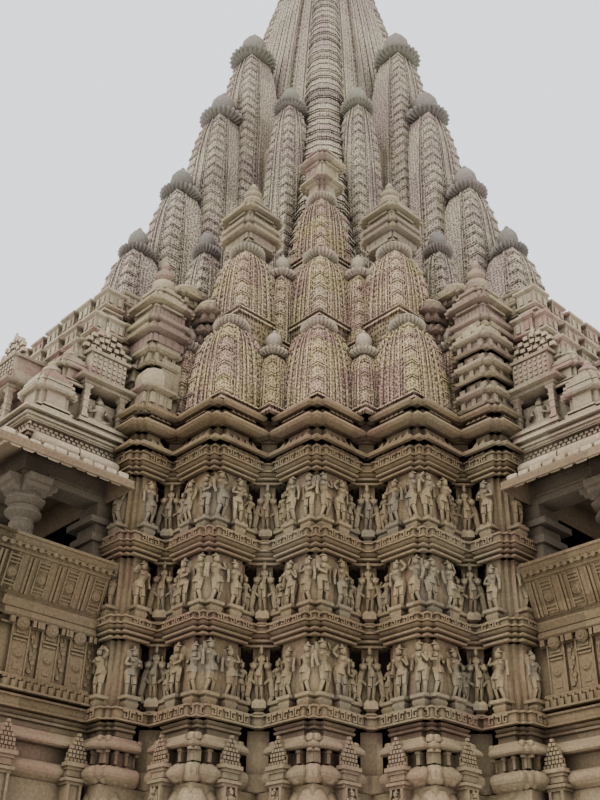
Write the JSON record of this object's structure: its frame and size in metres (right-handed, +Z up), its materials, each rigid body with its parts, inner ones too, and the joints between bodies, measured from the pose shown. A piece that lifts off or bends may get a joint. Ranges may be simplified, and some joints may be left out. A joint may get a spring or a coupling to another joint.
{
  "type": "hindu temple tower",
  "caption": "Stone shrine tower on a high plinth: pierced balconies on each side, stepped carved walls, and a curved spire clustered with smaller ones.",
  "frame": {"origin": "centre of the foot of the plinth, at ground level under the tower's axis", "axes": "+Z up along the tower's axis, +X out of the right balcony, -Y out of the front balcony"},
  "size_m": [18.1, 18.1, 31.5],
  "materials": {
    "wall_stone": "weathered carved sandstone",
    "spire_stone": "weathered carved sandstone, greyer",
    "dark_stone": "shaded sandstone",
    "lichened_stone": "sandstone grown with lichen"
  },
  "bodies": {
    "root": {"back_balcony_eave": "wall_stone", "back_balcony_parapet": "wall_stone", "back_balcony_pillars": "dark_stone", "back_balcony_roof": "wall_stone", "back_face_spires_lower": "spire_stone", "back_face_spires_upper": "spire_stone", "back_left_spires_lower": "spire_stone", "back_left_spires_upper": "spire_stone", "back_left_wall": "wall_stone", "back_right_spires_lower": "spire_stone", "back_right_spires_upper": "spire_stone", "back_right_wall": "wall_stone", "finial": "spire_stone", "floor": "dark_stone", "front_balcony_eave": "wall_stone", "front_balcony_parapet": "wall_stone", "front_balcony_pillars": "dark_stone", "front_balcony_roof": "wall_stone", "front_face_spires_lower": "spire_stone", "front_face_spires_upper": "spire_stone", "front_left_spires_lower": "spire_stone", "front_left_spires_upper": "spire_stone", "front_left_wall": "wall_stone", "front_right_spires_lower": "spire_stone", "front_right_spires_upper": "spire_stone", "front_right_wall": "wall_stone", "great_disc": "lichened_stone", "ground_course": "wall_stone", "left_balcony_eave": "wall_stone", "left_balcony_parapet": "wall_stone", "left_balcony_pillars": "dark_stone", "left_balcony_roof": "wall_stone", "left_face_spires_lower": "spire_stone", "left_face_spires_upper": "spire_stone", "lower_plinth": "wall_stone", "main_spire": "spire_stone", "neck": "spire_stone", "right_balcony_eave": "wall_stone", "right_balcony_parapet": "wall_stone", "right_balcony_pillars": "dark_stone", "right_balcony_roof": "wall_stone", "right_face_spires_lower": "spire_stone", "right_face_spires_upper": "spire_stone", "small_disc": "lichened_stone", "torus_course": "wall_stone", "upper_plinth": "wall_stone"}
  },
  "joints": []
}
